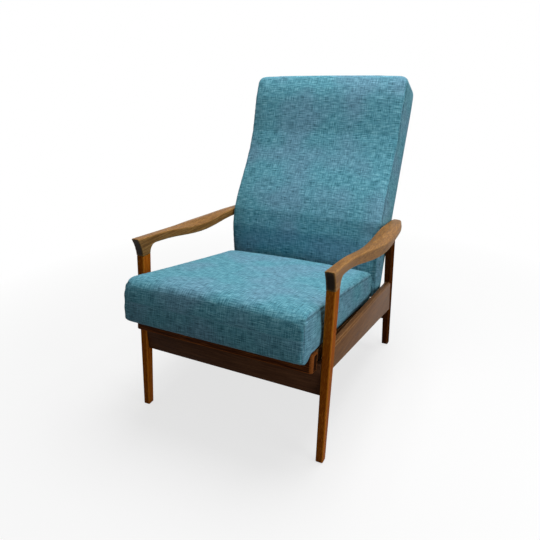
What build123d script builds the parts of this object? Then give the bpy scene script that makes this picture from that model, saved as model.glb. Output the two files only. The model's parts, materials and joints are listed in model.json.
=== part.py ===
from build123d import *
import os
from math import atan2, cos, pi, radians, sin, sqrt, tan

os.makedirs("parts", exist_ok=True)

# Timber lounge recliner in millimetres: the front faces -Y, +Z is up, X = 0 is the middle plane.
# Left and right are as seen from the front, so every right-hand piece lies at +X.

# Main frame
front_foot_y = -427.55
foot_spacing_y = 700.0
leg_spacing_x = 612.0
glide_thick = 3.0
glide_diameter = 17.0
joint_above_seat = 159.4
front_leg_lean = 66.0
front_foot_wide = 22.0
front_foot_deep = 24.0
front_top_wide = 27.0
front_top_deep = 36.0
rear_leg_lean = 46.0
rear_foot_wide = 23.0
rear_foot_deep = 27.0
rear_top_wide = 26.0
rear_top_deep = 40.0
leg_round = 4.0

# Arms
arm_nose_tall = 59.0
arm_tip_back = 34.0
arm_past_leg = 82.0
arm_slope = 5.5
arm_thick = 27.0
arm_front_wide = 28.0
arm_widest = 61.0
arm_straight = 110.0
arm_swell_at = 0.62
arm_tail_wide = 20.0
arm_tail_thin = 3.0
arm_thin_from = 0.93
arm_crook_plain = 1.5
arm_top_round = 4.0
arm_low_round = 3.0
arm_wing_drop = 15.0
arm_wing_from = 0.35
arm_wing_to = 0.8
arm_dip = 15.0
arm_bank = 13.0
arm_dip_to = 0.8
arm_rise = 4.0
arm_rise_from = 0.5
arm_nose_hollow = 4.0
arm_swell_steps = 9
arm_tail_steps = 8

# Side boards, apron and rear rail
board_thick = 19.0
board_front_tall = 66.6
board_fall = 63.6
board_rear_tall = 117.0
board_bevel = 5.0
board_inset = 1.5
apron_thick = 22.0
apron_rise = 5.4
apron_tall = 98.0
rear_rail_thick = 22.0
rear_rail_bottom = 118.0
rear_rail_tall = 55.0

# Seat frame, which slides on the runners along the seat slope
seat_slope = 9.0
seat_front_height = 347.6
seat_side_gap = 11.0
seat_rail_thick = 22.0
seat_side_tall = 36.0
seat_front_rail_tall = 52.0
seat_front_rail_thick = 38.0
seat_front_rail_ahead = 19.0
seat_front_rail_round = 9.0
seat_front_rail_past = 6.5
seat_rear_rail_thick = 24.0
seat_rear_rail_ahead = 27.0
runner_wide = 37.0
runner_tall = 14.0
runner_from = 66.0
runner_past_link = 36.7
pad_thick = 4.0
pad_long = 44.0
pad_wide = 14.0
pad_front_at = 150.0
pad_rear_ahead = 76.3
slide_gap = 0.3
webbing_thick = 2.5
seat_webbing_wide = 50.0
seat_webbing_count = 7
seat_webbing_from = 45.0
seat_webbing_rear_ahead = 56.3

# Seat cushion, measured along the seat slope
soft_gap = 0.3
seat_cushion_past = 2.0
seat_cushion_front = -79.0
seat_cushion_rear_ahead = 61.0
seat_cushion_front_tall = 124.0
seat_cushion_rear_tall = 101.0
seat_cushion_crown = 7.0
seat_cushion_draw = 3.0
seat_front_round = 36.0
seat_low_round = 14.0
seat_front_droop = 15.0
seat_droop_room = 4.0
seat_rear_round = 16.0
seat_side_round = 13.0
seat_under_round = 5.0
seat_corner_share = 0.15
seat_plain_steps = 3
round_steps = 4

# Back, which turns on two bolts in the rear legs
pivot_above_seat = 72.4
back_tilt = 25.2
back_side_gap = 2.5
back_low = -160.0
back_cheek = 30.0
back_top = 582.0
back_rear = 35.0
lumbar_at = 48.0
lumbar_deep = 122.0
hollow_at = 348.0
hollow_deep = 84.0
head_at = 508.0
head_deep = 102.0
low_deep = 42.0
back_crown = 8.0
back_draw = 1.5
back_edge_round = 13.0
back_top_round = 26.0
back_rear_round = 9.0
back_plain_steps = 12
stile_thick = 24.0
stile_deep = 30.0
stile_cover = 30.0
stile_foot = 13.0
back_rail_tall = 40.0
back_rail_deep = 24.0
back_middle_rail_at = 228.0
back_webbing_wide = 50.0
back_webbing_count = 8

# Pivots, link and fasteners
bolt_diameter = 10.0
bolt_head_diameter = 18.0
bolt_head_thick = 6.0
bolt_depth = 18.0
run_play = 0.05
side_play = 0.3
bush_diameter = 14.0
spacer_diameter = 16.0
spacer_seat = 4.0
spacer_room = 3.0
link_drop = 205.0
link_diameter = 8.0
link_reach = 18.0
slot_play = 1.0
slot_end_play = 1.5
recline = 15.0
bracket_thick = 4.0
bracket_rim = 7.0
bracket_flange = 26.0
dowel_diameter = 10.0
dowel_length = 36.0
dowel_spread = 26.0
rail_dowel_spread = 18.0
fit_play = 0.05
screw_diameter = 4.0
screw_head_diameter = 8.0
screw_length = 44.0
runner_screw_count = 4
bracket_screw_length = 18.0
sink_angle = 82.0

# Places worked out from the sizes above
leg_x = leg_spacing_x / 2
rear_foot_y = front_foot_y + foot_spacing_y
front_joint_y = front_foot_y + front_leg_lean
front_joint_height = seat_front_height + joint_above_seat
arm_angle = radians(arm_slope)
arm_drop = tan(arm_angle)
arm_tip_y = front_foot_y + arm_tip_back
arm_tip_height = front_joint_height + arm_nose_tall
arm_inner_x = leg_x - arm_front_wide / 2
rear_joint_y = rear_foot_y - rear_leg_lean
arm_length = (rear_joint_y + arm_past_leg - arm_tip_y) / cos(arm_angle)
board_front_top = seat_front_height
board_front_bottom = board_front_top - board_front_tall
board_rear_top = board_front_top - board_fall
board_rear_bottom = board_rear_top - board_rear_tall
apron_bottom = seat_front_height - seat_front_rail_tall + apron_rise - apron_tall
pivot_height = seat_front_height + pivot_above_seat
seat_half_wide = leg_x - front_top_wide / 2 - seat_side_gap
seat_cushion_half = seat_half_wide + seat_cushion_past
back_half_wide = arm_inner_x - back_side_gap
stile_outer = back_half_wide - stile_cover
stile_low = -link_drop - stile_foot
round_turns = [pi / 2 * number / round_steps for number in range(round_steps + 1)]
arm_swell_from = arm_straight / arm_length
arm_rise_to = 1 - (arm_past_leg + rear_top_deep) / cos(arm_angle) / arm_length
arm_shares = []
for number in range(arm_swell_steps):
    arm_shares.append(arm_swell_from + (arm_swell_at - arm_swell_from) * number / arm_swell_steps)
for number in range(arm_tail_steps + 1):
    arm_shares.append(arm_swell_at + (1 - arm_swell_at) * sin(pi / 2 * number / arm_tail_steps))


def between(z, low_z, high_z, low, high):
    return low + (high - low) * (z - low_z) / (high_z - low_z)


def arm_top_z(y):
    return arm_tip_height - (y - arm_tip_y) * arm_drop


def arm_under_z(y):
    return arm_top_z(y) - arm_thick / cos(arm_angle)


rear_joint_height = arm_under_z(rear_joint_y) + arm_rise / cos(arm_angle)


def front_leg_line(z, offset_low, offset_high):
    low = front_foot_y + offset_low
    return between(z, glide_thick, front_joint_height, low, front_joint_y + offset_high)


def rear_leg_line(z, offset_low, offset_high):
    low = rear_foot_y + offset_low
    return between(z, glide_thick, rear_joint_height, low, rear_joint_y + offset_high)


def front_leg_back_y(z):
    return front_leg_line(z, front_foot_deep / 2, front_top_deep / 2)


def rear_leg_face_y(z):
    return rear_leg_line(z, -rear_foot_deep / 2, -rear_top_deep / 2)


def front_leg_inner_x(z):
    wide = between(z, glide_thick, front_joint_height, front_foot_wide, front_top_wide)
    return leg_x - wide / 2


def rear_leg_inner_x(z):
    wide = between(z, glide_thick, rear_joint_height, rear_foot_wide, rear_top_wide)
    return leg_x - wide / 2


def ease(place, low_at, high_at, low, high):
    share = min(1, max(0, (place - low_at) / (high_at - low_at)))
    return low + (high - low) * (1 - cos(pi * share)) / 2


def write(piece, label):
    piece.part.label = label
    export_step(piece.part, f"parts/{label}.step")


def write_pair(piece, label):
    write(piece, label + "_right")
    with BuildPart() as other:
        mirror(piece.part, about=Plane.YZ)
    write(other, label + "_left")


def bore(seats, diameter, length):
    with Locations(*seats):
        Cylinder(diameter / 2 + fit_play, length + 2 * fit_play, mode=Mode.SUBTRACT)


def pins(seats, diameter, length):
    with Locations(*seats):
        Cylinder(diameter / 2, length)


def mirrored(seats):
    return [Plane((-seat.origin.X, seat.origin.Y, seat.origin.Z), z_dir=seat.z_dir) for seat in seats]


def screws(seats, length):
    below = (Align.CENTER, Align.CENTER, Align.MAX)
    with Locations(*seats):
        Cylinder(screw_diameter / 2, length, align=below)
        Cone(screw_diameter / 2, screw_head_diameter / 2, screw_head_tall, align=below)


def screw_bores(seats, length):
    below = (Align.CENTER, Align.CENTER, Align.MAX)
    with Locations(*seats):
        Cylinder(screw_hole, length + fit_play, align=below, mode=Mode.SUBTRACT)


# Local planes of the two moving parts: seat is (x, rearward along the slope, up from the slope),
# back is (x, upward along the back, forward from the stiles' middle)
seat_angle = radians(seat_slope)
back_angle = radians(back_tilt)
pivot_y = rear_leg_line(pivot_height, 0, 0)
seat_plane = Plane(
    origin=(0, front_foot_y, seat_front_height),
    x_dir=(1, 0, 0),
    z_dir=(0, sin(seat_angle), cos(seat_angle)),
)
back_plane = Plane(
    origin=(0, pivot_y, pivot_height),
    x_dir=(1, 0, 0),
    z_dir=(0, -cos(back_angle), sin(back_angle)),
)
across = (1, 0, 0)
along = (0, 1, 0)

# Link between back and seat, and what ends at it, along the seat slope
pivot_seat = seat_plane.to_local_coords(Vector(0, pivot_y, pivot_height))
link_angle = back_angle - seat_angle
link_place = pivot_seat.Y - link_drop * sin(link_angle)
seat_frame_rear = link_place - seat_rear_rail_ahead
seat_webbing_to = seat_frame_rear - seat_webbing_rear_ahead
runner_to = link_place + runner_past_link
pad_places = (pad_front_at, seat_frame_rear - pad_rear_ahead)

# Dowels of the main frame on the right-hand side, each on its joint face
board_x = leg_x + front_top_wide / 2 - board_inset - board_thick / 2
board_inner_x = board_x - board_thick / 2
board_front_middle = (board_front_top + board_front_bottom) / 2
board_rear_middle = (board_rear_top + board_rear_bottom) / 2
apron_middle = apron_bottom + apron_tall / 2
rear_rail_middle = rear_rail_bottom + rear_rail_tall / 2
apron_y = front_leg_line(apron_middle, 0, 0)
rear_rail_y = rear_leg_line(rear_rail_middle, 0, 0)
dowel_steps = (-dowel_spread / 2, dowel_spread / 2)
board_front_dowels = []
board_rear_dowels = []
apron_dowels = []
rear_rail_dowels = []
for step in dowel_steps:
    z = board_front_middle + step
    board_front_dowels.append(Plane((board_x, front_leg_back_y(z), z), z_dir=along))
    z = board_rear_middle + step
    board_rear_dowels.append(Plane((board_x, rear_leg_face_y(z), z), z_dir=along))
    z = apron_middle + step
    apron_dowels.append(Plane((front_leg_inner_x(z), apron_y, z), z_dir=across))
    z = rear_rail_middle + step
    rear_rail_dowels.append(Plane((rear_leg_inner_x(z), rear_rail_y, z), z_dir=across))
arm_front_dowel = [Plane((leg_x, front_joint_y, front_joint_height))]
arm_rear_dowel = [Plane((leg_x, rear_joint_y, rear_joint_height))]
arm_plane = Plane(
    origin=(leg_x, rear_joint_y, rear_joint_height),
    x_dir=(1, 0, 0),
    z_dir=(0, sin(arm_angle), cos(arm_angle)),
)

# Screw seats, at the face that each head is flush with
screw_hole = screw_diameter / 2 + fit_play
screw_sink = screw_head_diameter / 2 + fit_play
screw_head_tall = (screw_head_diameter - screw_diameter) / 2 / tan(radians(sink_angle / 2))
runner_top = -seat_side_tall - pad_thick - slide_gap
runner_x = board_inner_x - runner_wide / 2
runner_pitch = (runner_to - runner_from) / runner_screw_count
runner_screw_seats = []
for number in range(runner_screw_count):
    place = runner_from + (number + 0.5) * runner_pitch
    middle = runner_top - runner_tall / 2
    runner_screw_seats.append(Plane((board_inner_x - runner_wide, place, middle), z_dir=(-1, 0, 0)))

# Front leg: a tapered post that leans back to the arm
with BuildPart() as front_leg:
    with BuildSketch(Plane((leg_x, front_foot_y, glide_thick))):
        RectangleRounded(front_foot_wide, front_foot_deep, leg_round)
    with BuildSketch(Plane((leg_x, front_joint_y, front_joint_height))):
        RectangleRounded(front_top_wide, front_top_deep, leg_round)
    loft()
    bore(board_front_dowels + apron_dowels + arm_front_dowel, dowel_diameter, dowel_length)
write_pair(front_leg, "front_leg")

# Rear leg: leans forward to the underside of the arm and holds the pivot bolt of the back
rear_leg_rise = rear_joint_height + rear_top_deep * arm_drop
rear_leg_ratio = (rear_leg_rise - glide_thick) / (rear_joint_height - glide_thick)
bolt_end_x = leg_x - rear_top_wide / 2 + bolt_depth
with BuildPart() as rear_leg:
    with BuildSketch(Plane((leg_x, rear_foot_y, glide_thick))):
        RectangleRounded(rear_foot_wide, rear_foot_deep, leg_round)
    with BuildSketch(Plane((leg_x, rear_foot_y - rear_leg_lean * rear_leg_ratio, rear_leg_rise))):
        top_wide = rear_foot_wide + (rear_top_wide - rear_foot_wide) * rear_leg_ratio
        top_deep = rear_foot_deep + (rear_top_deep - rear_foot_deep) * rear_leg_ratio
        RectangleRounded(top_wide, top_deep, leg_round)
    loft()
    split(bisect_by=arm_plane, keep=Keep.BOTTOM)
    bore(board_rear_dowels + rear_rail_dowels + arm_rear_dowel, dowel_diameter, dowel_length)
    with Locations(Plane((bolt_end_x / 2, pivot_y, pivot_height), z_dir=across)):
        Cylinder(bolt_diameter / 2 + fit_play, bolt_end_x, mode=Mode.SUBTRACT)
    spacer_end_x = rear_leg_inner_x(pivot_height) + spacer_seat
    with Locations(Plane((spacer_end_x / 2, pivot_y, pivot_height), z_dir=across)):
        Cylinder(spacer_diameter / 2 + fit_play, spacer_end_x, mode=Mode.SUBTRACT)
write_pair(rear_leg, "rear_leg")

# Foot glides: shallow domed discs nailed under the four feet
for label, foot_y in (("front", front_foot_y), ("rear", rear_foot_y)):
    with BuildPart() as foot_glide:
        with Locations((leg_x, foot_y, glide_thick / 2)):
            Cylinder(glide_diameter / 2, glide_thick)
        fillet(foot_glide.edges().group_by(Axis.Z)[0], glide_thick / 2)
    write_pair(foot_glide, f"{label}_foot_glide")

# Arm: a down-turned nose on the leg, then a top strip as wide as the nose, whose inner edge dips half way
# and rises to the rear leg, with a wing that swells out beside it and rolls down from the strip in one arc
nose_front_y = front_joint_y - front_top_deep / 2
nose_rear_y = front_joint_y + front_top_deep / 2
nose_end_y = arm_tip_y + arm_straight * cos(arm_angle)
nose_end_z = arm_tip_height - arm_straight * sin(arm_angle)
crook_rise = arm_under_z(nose_rear_y) - front_joint_height
crook_lean = crook_rise * (front_leg_lean + front_top_deep / 2 - front_foot_deep / 2) / front_joint_height
crook_y = nose_rear_y + crook_lean
arm_crook = crook_rise - arm_crook_plain


def arm_wide(share):
    if share < arm_swell_at:
        return ease(share, arm_swell_from, arm_swell_at, arm_front_wide, arm_widest)
    run = (share - arm_swell_at) / (1 - arm_swell_at)
    return arm_tail_wide + (arm_widest - arm_tail_wide) * sqrt(max(0, 1 - run * run))


def arm_hang(share):
    return sin(pi * min(1, between(share, arm_swell_from, arm_dip_to, 0, 1))) ** 2


def arm_bow(share):
    return ease(share, arm_rise_from, arm_rise_to, 0, arm_rise) - arm_dip * arm_hang(share)


def arm_station(share):
    run = arm_length * share
    under = arm_thick - arm_bow(share)
    y = arm_tip_y + run * cos(arm_angle) - under * sin(arm_angle)
    z = arm_tip_height - run * sin(arm_angle) - under * cos(arm_angle)
    return Plane((0, y, z), x_dir=(1, 0, 0), z_dir=(0, -cos(arm_angle), sin(arm_angle)))


def arm_outline(share):
    inner = arm_inner_x
    outer = arm_inner_x + arm_wide(share)
    top = arm_thick - arm_tail_thin * max(0, share - arm_thin_from) / (1 - arm_thin_from)
    wing_run = arm_top_round + max(0, arm_wide(share) - arm_front_wide)
    wing_drop = ease(share, arm_wing_from, arm_wing_to, arm_top_round, arm_wing_drop)
    bulge = tan(atan2(wing_drop, wing_run) / 2) / 2
    crest = top + arm_bank * arm_hang(share)
    wing_middle = (outer - wing_run / 2 + wing_drop * bulge, crest - wing_drop / 2 + wing_run * bulge)
    with BuildLine() as outline:
        Line((inner + arm_low_round, 0), (outer - arm_low_round, 0))
        RadiusArc((outer - arm_low_round, 0), (outer, arm_low_round), -arm_low_round)
        Line((outer, arm_low_round), (outer, crest - wing_drop))
        ThreePointArc((outer, crest - wing_drop), wing_middle, (outer - wing_run, crest))
        Line((outer - wing_run, crest), (inner + arm_top_round, top))
        RadiusArc((inner + arm_top_round, top), (inner, top - arm_top_round), -arm_top_round)
        Line((inner, top - arm_top_round), (inner, arm_low_round))
        RadiusArc((inner, arm_low_round), (inner + arm_low_round, 0), -arm_low_round)
    make_face(outline.edges())


with BuildPart() as arm:
    with BuildSketch(Plane.YZ.offset(arm_inner_x)):
        with BuildLine():
            nose_middle_y = (nose_front_y + arm_tip_y) / 2 + arm_nose_hollow
            nose_middle_z = (front_joint_height + arm_tip_height) / 2
            ThreePointArc(
                (nose_front_y, front_joint_height),
                (nose_middle_y, nose_middle_z),
                (arm_tip_y, arm_tip_height),
            )
            Polyline(
                (arm_tip_y, arm_tip_height),
                (nose_end_y, nose_end_z),
                (nose_end_y - arm_thick * sin(arm_angle), nose_end_z - arm_thick * cos(arm_angle)),
                (crook_y, arm_under_z(crook_y)),
                (nose_rear_y, front_joint_height),
                (nose_front_y, front_joint_height),
            )
        make_face()
        fillet(vertices().sort_by_distance((crook_y, arm_under_z(crook_y)))[0], arm_crook)
    extrude(amount=arm_front_wide)
    lengthwise = Axis((0, 0, 0), (0, cos(arm_angle), -sin(arm_angle)))
    long_edges = arm.edges().filter_by(lengthwise).sort_by(Axis.Z)
    fillet(long_edges[-2:], arm_top_round)
    long_edges = arm.edges().filter_by(lengthwise).sort_by(Axis.Z)
    fillet(long_edges[:2], arm_low_round)
    for share in arm_shares:
        with BuildSketch(arm_station(share)):
            arm_outline(share)
    loft(ruled=True)
    bore(arm_front_dowel + arm_rear_dowel, dowel_diameter, dowel_length)
write_pair(arm, "arm")

# Side board: wider towards the rear, bevelled along its upper outer edge
with BuildPart() as side_board:
    with BuildSketch(Plane.YZ.offset(board_inner_x)):
        with BuildLine():
            Polyline(
                (front_leg_back_y(board_front_bottom), board_front_bottom),
                (rear_leg_face_y(board_rear_bottom), board_rear_bottom),
                (rear_leg_face_y(board_rear_top), board_rear_top),
                (front_leg_back_y(board_front_top), board_front_top),
                close=True,
            )
        make_face()
    extrude(amount=board_thick)
    bevel_edge = side_board.faces().sort_by(Axis.Z)[-1].edges().sort_by(Axis.X)[-1]
    chamfer(bevel_edge, board_bevel)
    bore(board_front_dowels + board_rear_dowels, dowel_diameter, dowel_length)
    with Locations(seat_plane):
        screw_bores(runner_screw_seats, screw_length)
write_pair(side_board, "side_board")

# Front apron and low rear rail, both dowelled between the legs
with BuildPart() as front_apron:
    apron_top = apron_bottom + apron_tall
    with BuildSketch(Plane.XZ.offset(-apron_y)):
        with BuildLine():
            Polyline(
                (front_leg_inner_x(apron_bottom), apron_bottom),
                (front_leg_inner_x(apron_top), apron_top),
                (-front_leg_inner_x(apron_top), apron_top),
                (-front_leg_inner_x(apron_bottom), apron_bottom),
                close=True,
            )
        make_face()
    extrude(amount=apron_thick / 2, both=True)
    bore(apron_dowels + mirrored(apron_dowels), dowel_diameter, dowel_length)
write(front_apron, "front_apron")

with BuildPart() as rear_rail:
    rear_rail_top = rear_rail_bottom + rear_rail_tall
    with BuildSketch(Plane.XZ.offset(-rear_rail_y)):
        with BuildLine():
            Polyline(
                (rear_leg_inner_x(rear_rail_bottom), rear_rail_bottom),
                (rear_leg_inner_x(rear_rail_top), rear_rail_top),
                (-rear_leg_inner_x(rear_rail_top), rear_rail_top),
                (-rear_leg_inner_x(rear_rail_bottom), rear_rail_bottom),
                close=True,
            )
        make_face()
    extrude(amount=rear_rail_thick / 2, both=True)
    bore(rear_rail_dowels + mirrored(rear_rail_dowels), dowel_diameter, dowel_length)
write(rear_rail, "rear_rail")

with BuildPart() as frame_dowels:
    pins(board_front_dowels + board_rear_dowels, dowel_diameter, dowel_length)
    pins(apron_dowels + rear_rail_dowels, dowel_diameter, dowel_length)
    pins(arm_front_dowel + arm_rear_dowel, dowel_diameter, dowel_length)
    mirror(about=Plane.YZ)
write(frame_dowels, "frame_dowels")

# Runner: the strip inside the side board that the seat slides on, held by countersunk screws
with BuildPart(seat_plane) as runner:
    with Locations((runner_x, (runner_from + runner_to) / 2, runner_top - runner_tall / 2)):
        Box(runner_wide, runner_to - runner_from, runner_tall)
    with Locations(*runner_screw_seats):
        CounterSinkHole(screw_hole, screw_sink, runner_wide, sink_angle)
write_pair(runner, "runner")

with BuildPart(seat_plane) as runner_screws:
    screws(runner_screw_seats, screw_length)
    mirror(about=Plane.YZ)
write(runner_screws, "runner_screws")

# Seat frame: front rail with rounded ends, side rails on nylon pads, rear rail
seat_joint = seat_front_rail_thick - seat_front_rail_ahead
seat_rail_x = seat_half_wide - seat_rail_thick / 2
seat_rail_inner = seat_half_wide - seat_rail_thick
seat_rear_middle = seat_frame_rear - seat_rear_rail_thick / 2
seat_front_dowels = []
seat_rear_dowels = []
for step in (-rail_dowel_spread / 2, rail_dowel_spread / 2):
    level = step - seat_side_tall / 2
    seat_front_dowels.append(Plane((seat_rail_x, seat_joint, level), z_dir=along))
    seat_rear_dowels.append(Plane((seat_rail_inner, seat_rear_middle, level), z_dir=across))

with BuildPart(seat_plane) as seat_front_rail:
    with Locations((0, seat_joint - seat_front_rail_thick / 2, -seat_front_rail_tall / 2)):
        Box(2 * (seat_half_wide + seat_front_rail_past), seat_front_rail_thick, seat_front_rail_tall)
    upright = Axis(seat_plane.origin, seat_plane.z_dir)
    fillet(seat_front_rail.edges().filter_by(upright), seat_front_rail_round)
    bore(seat_front_dowels + mirrored(seat_front_dowels), dowel_diameter, dowel_length)
write(seat_front_rail, "seat_front_rail")

with BuildPart(seat_plane) as seat_side_rail:
    with Locations((seat_rail_x, (seat_joint + seat_frame_rear) / 2, -seat_side_tall / 2)):
        Box(seat_rail_thick, seat_frame_rear - seat_joint, seat_side_tall)
    bore(seat_front_dowels + seat_rear_dowels, dowel_diameter, dowel_length)
write_pair(seat_side_rail, "seat_side_rail")

with BuildPart(seat_plane) as seat_pads:
    with Locations(*[(seat_rail_x, place, -seat_side_tall - pad_thick / 2) for place in pad_places]):
        Box(pad_wide, pad_long, pad_thick)
write_pair(seat_pads, "seat_glide_pads")

# Link: a pin at the foot of each stile in an upright slot of a steel bracket on the seat's rear rail
slot_low = pivot_seat.Z - link_drop * cos(link_angle) - slot_end_play
slot_high = pivot_seat.Z - link_drop * cos(link_angle + radians(recline)) + slot_end_play
slot_wide = link_diameter + 2 * slot_play
stile_inner = stile_outer - stile_thick
bracket_x = stile_inner - link_reach / 2 - bracket_thick / 2
bracket_low = slot_low - slot_wide / 2 - bracket_rim
bracket_high = slot_high + slot_wide / 2 + bracket_rim
bracket_rear = link_place + slot_wide / 2 + bracket_rim
bracket_middle = (bracket_low + bracket_high) / 2
bracket_screw_x = bracket_x - bracket_flange / 2
bracket_screw_seats = []
for step in (-rail_dowel_spread / 2, rail_dowel_spread / 2):
    level = step - seat_side_tall / 2
    place = (bracket_screw_x, seat_frame_rear + bracket_thick, level)
    bracket_screw_seats.append(Plane(place, z_dir=along))

with BuildPart(seat_plane) as seat_rear_rail:
    with Locations((0, seat_rear_middle, -seat_side_tall / 2)):
        Box(2 * seat_rail_inner, seat_rear_rail_thick, seat_side_tall)
    bore(seat_rear_dowels + mirrored(seat_rear_dowels), dowel_diameter, dowel_length)
    screw_bores(bracket_screw_seats + mirrored(bracket_screw_seats), bracket_screw_length)
write(seat_rear_rail, "seat_rear_rail")

with BuildPart(seat_plane) as seat_dowels:
    pins(seat_front_dowels + seat_rear_dowels, dowel_diameter, dowel_length)
    mirror(about=Plane.YZ)
write(seat_dowels, "seat_dowels")

with BuildPart(seat_plane) as slot_bracket:
    with Locations((bracket_x, (seat_frame_rear + bracket_rear) / 2, bracket_middle)):
        Box(bracket_thick, bracket_rear - seat_frame_rear, bracket_high - bracket_low)
    with Locations((bracket_x, link_place, bracket_middle)):
        Box(bracket_thick, slot_wide, slot_high - slot_low, mode=Mode.SUBTRACT)
    for level in (slot_low, slot_high):
        with Locations(Plane((bracket_x, link_place, level), z_dir=across)):
            Cylinder(slot_wide / 2, bracket_thick, mode=Mode.SUBTRACT)
    flange_middle = bracket_x + bracket_thick / 2 - bracket_flange / 2
    with Locations((flange_middle, seat_frame_rear + bracket_thick / 2, -seat_side_tall / 2)):
        Box(bracket_flange, bracket_thick, seat_side_tall)
    with Locations(*bracket_screw_seats):
        CounterSinkHole(screw_hole, screw_sink, bracket_thick, sink_angle)
write_pair(slot_bracket, "slot_bracket")

with BuildPart(seat_plane) as bracket_screws:
    screws(bracket_screw_seats, bracket_screw_length)
    mirror(about=Plane.YZ)
write(bracket_screws, "bracket_screws")

# Rubber webbing of the seat, stretched from side rail to side rail
with BuildPart(seat_plane) as seat_webbing:
    webbing_pitch = (seat_webbing_to - seat_webbing_from) / (seat_webbing_count - 1)
    places = [seat_webbing_from + number * webbing_pitch for number in range(seat_webbing_count)]
    with Locations(*[(0, place, webbing_thick / 2) for place in places]):
        Box(2 * seat_rail_x, seat_webbing_wide, webbing_thick)
write(seat_webbing, "seat_webbing")


def pad_outline(half, low, high, crown, low_round, high_round):
    with BuildLine() as outline:
        Line((low_round - half, low), (half - low_round, low))
        RadiusArc((half - low_round, low), (half, low + low_round), -low_round)
        Line((half, low + low_round), (half, high - high_round))
        RadiusArc((half, high - high_round), (half - high_round, high), -high_round)
        ThreePointArc((half - high_round, high), (0, high + crown), (high_round - half, high))
        RadiusArc((high_round - half, high), (-half, high - high_round), -high_round)
        Line((-half, high - high_round), (-half, low + low_round))
        RadiusArc((-half, low + low_round), (low_round - half, low), -low_round)
    make_face(outline.edges())


# Seat cushion: thicker in front, rolled front edge that hangs a little below the frame, crowned top,
# sides drawn in between the corners
seat_base = webbing_thick + soft_gap
seat_cushion_rear = link_place - seat_cushion_rear_ahead
seat_stations = []
for turn in round_turns:
    low_loss = seat_low_round * (1 - sin(turn))
    place = seat_cushion_front + seat_front_round * (1 - cos(turn))
    top_loss = seat_front_round * (1 - sin(turn))
    seat_stations.append((place, top_loss, low_loss - seat_front_droop, low_loss * seat_corner_share))
seat_stations.append((-seat_front_rail_ahead - seat_droop_room, 0, 0, 0))
for number in range(1, seat_plain_steps):
    place = between(number, 0, seat_plain_steps, seat_cushion_front, seat_cushion_rear)
    seat_stations.append((place, 0, 0, 0))
for turn in reversed(round_turns):
    low_loss = seat_low_round * (1 - sin(turn))
    place = seat_cushion_rear - seat_rear_round * (1 - cos(turn))
    top_loss = seat_rear_round * (1 - sin(turn))
    seat_stations.append((place, top_loss, low_loss, low_loss * seat_corner_share))
with BuildPart() as seat_cushion:
    for place, top_loss, low_loss, side_loss in seat_stations:
        share = (place - seat_cushion_front) / (seat_cushion_rear - seat_cushion_front)
        tall = seat_cushion_front_tall + (seat_cushion_rear_tall - seat_cushion_front_tall) * share
        half = seat_cushion_half - seat_cushion_draw * sin(pi * share) - side_loss
        station = Plane(
            origin=seat_plane.from_local_coords((0, place, 0)),
            x_dir=across,
            z_dir=-seat_plane.y_dir,
        )
        with BuildSketch(station):
            pad_outline(half, seat_base + low_loss, tall - top_loss, seat_cushion_crown,
                        seat_under_round, seat_side_round)
    loft(ruled=True)
write(seat_cushion, "seat_cushion")

# Back frame: two stiles and three rails
stile_x = stile_outer - stile_thick / 2
stile_top = back_top - back_top_round
rail_places = (stile_top - back_rail_tall / 2, back_middle_rail_at, back_low + back_rail_tall / 2)
back_dowels = []
for place in rail_places:
    for step in (-rail_dowel_spread / 2, rail_dowel_spread / 2):
        back_dowels.append(Plane((stile_inner, place + step, 0), z_dir=across))

with BuildPart(back_plane) as back_stile:
    with Locations((stile_x, (stile_low + stile_top) / 2, 0)):
        Box(stile_thick, stile_top - stile_low, stile_deep)
    bore(back_dowels, dowel_diameter, dowel_length)
    bore([Plane((stile_x, 0, 0), z_dir=across)], bush_diameter, stile_thick)
    bore([Plane((stile_x, -link_drop, 0), z_dir=across)], link_diameter, stile_thick)
write_pair(back_stile, "back_stile")

for label, place in zip(("top", "middle", "bottom"), rail_places):
    with BuildPart(back_plane) as back_rail:
        with Locations((0, place, 0)):
            Box(2 * stile_inner, back_rail_tall, back_rail_deep)
        bore(back_dowels + mirrored(back_dowels), dowel_diameter, dowel_length)
    write(back_rail, f"back_{label}_rail")

with BuildPart(back_plane) as back_dowel_set:
    pins(back_dowels + mirrored(back_dowels), dowel_diameter, dowel_length)
write(back_dowel_set, "back_dowels")

# Rubber webbing across the front of the stiles
with BuildPart(back_plane) as back_webbing:
    webbing_first = back_low + back_webbing_wide / 2
    webbing_pitch = (stile_top - back_webbing_wide / 2 - webbing_first) / (back_webbing_count - 1)
    places = [webbing_first + number * webbing_pitch for number in range(back_webbing_count)]
    with Locations(*[(0, place, stile_deep / 2 + webbing_thick / 2) for place in places]):
        Box(2 * stile_x, back_webbing_wide, webbing_thick)
write(back_webbing, "back_webbing")


back_hem = back_low - back_cheek


def back_front(place):
    if place < lumbar_at:
        return ease(place, back_hem, lumbar_at, low_deep, lumbar_deep)
    if place < hollow_at:
        return ease(place, lumbar_at, hollow_at, lumbar_deep, hollow_deep)
    if place < head_at:
        return ease(place, hollow_at, head_at, hollow_deep, head_deep)
    return head_deep


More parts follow.
